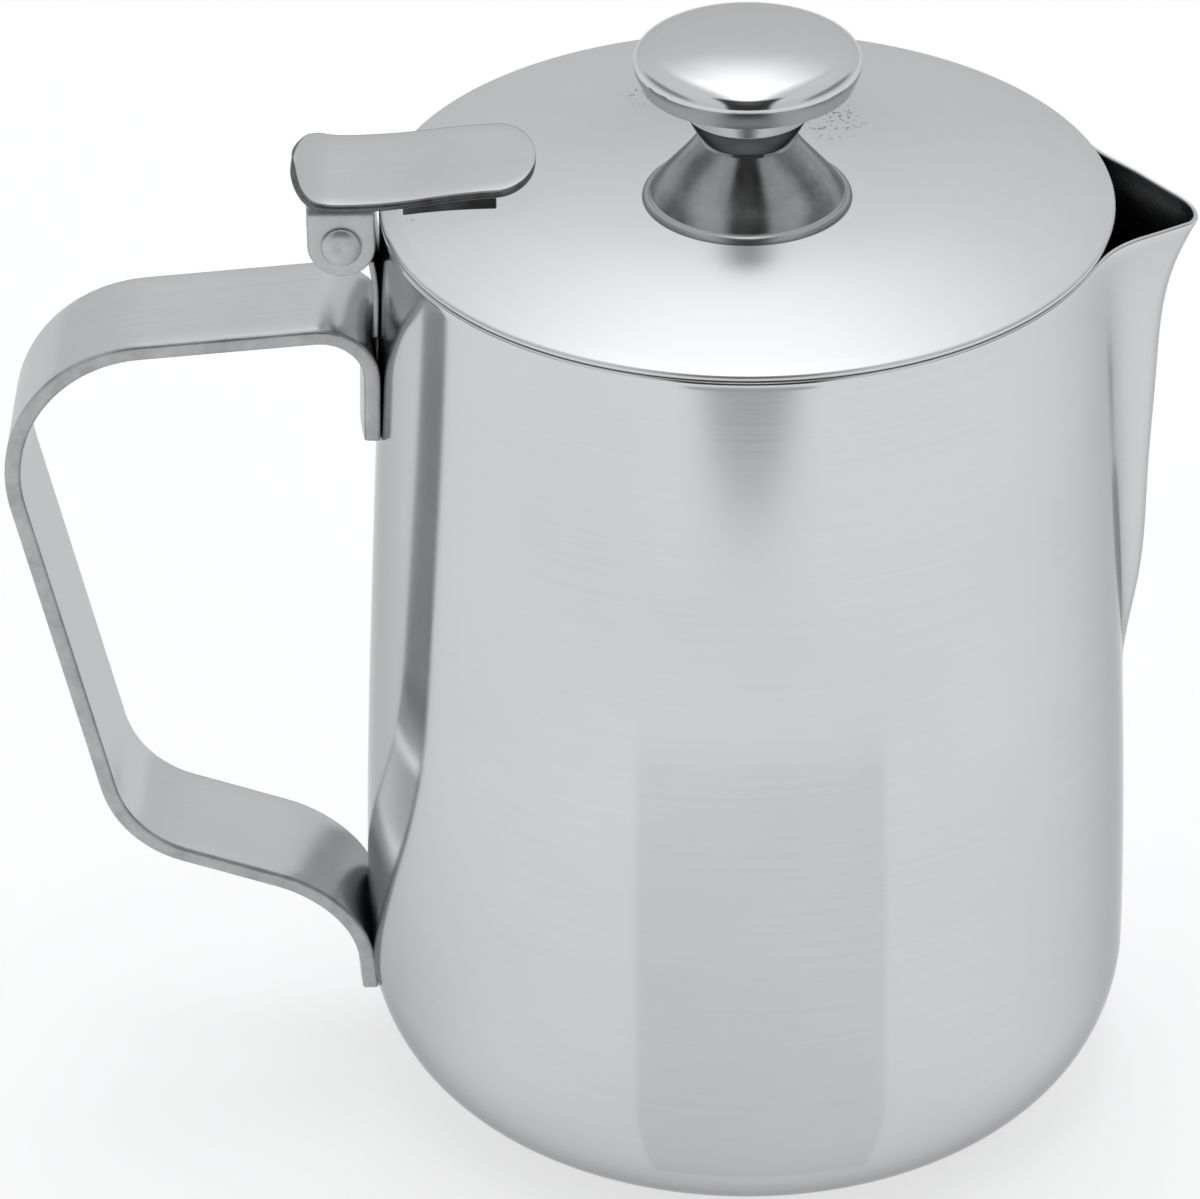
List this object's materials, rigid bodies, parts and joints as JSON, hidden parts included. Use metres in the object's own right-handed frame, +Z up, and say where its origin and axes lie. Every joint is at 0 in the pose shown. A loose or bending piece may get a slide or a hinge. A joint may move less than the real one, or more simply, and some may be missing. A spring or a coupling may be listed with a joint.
{
  "type": "milk frothing jug",
  "caption": "Polished steel milk frothing jug: tapered body with a pressed pouring spout, open strap handle, and a hinged lid with a thumb lever and a mushroom knob.",
  "frame": {"origin": "centre of the flat base, on the surface that the jug stands on", "axes": "+Z up, +X towards the pouring spout, the handle and the lid's hinge on -X, the XZ plane is the plane of symmetry"},
  "size_m": [0.162, 0.108, 0.1584],
  "materials": {
    "polished_steel": "mirror polished stainless steel",
    "satin_steel": "satin stainless steel",
    "pin_steel": "rough satin rivet steel",
    "brass": "turned brass"
  },
  "bodies": {
    "jug": {"jug_body": "polished_steel", "handle_strap": "satin_steel", "hinge_bracket": "satin_steel"},
    "lid": {"lid_shell": "polished_steel", "lid_inner_ring": "satin_steel", "lid_lever": "satin_steel", "hinge_rivet": "pin_steel", "knob_base_ring": "polished_steel", "knob_foot": "satin_steel", "knob_cup": "satin_steel", "knob_cap": "polished_steel", "knob_insert": "brass", "knob_screw": "pin_steel", "knob_screw_washer": "pin_steel"}
  },
  "joints": [
    {"name": "lid_hinge", "type": "hinge", "parent": "jug", "child": "lid", "pos_m": [-0.0542, 0, 0.1332], "axis": [0, -1, 0], "range_deg": [0, 105]}
  ]
}
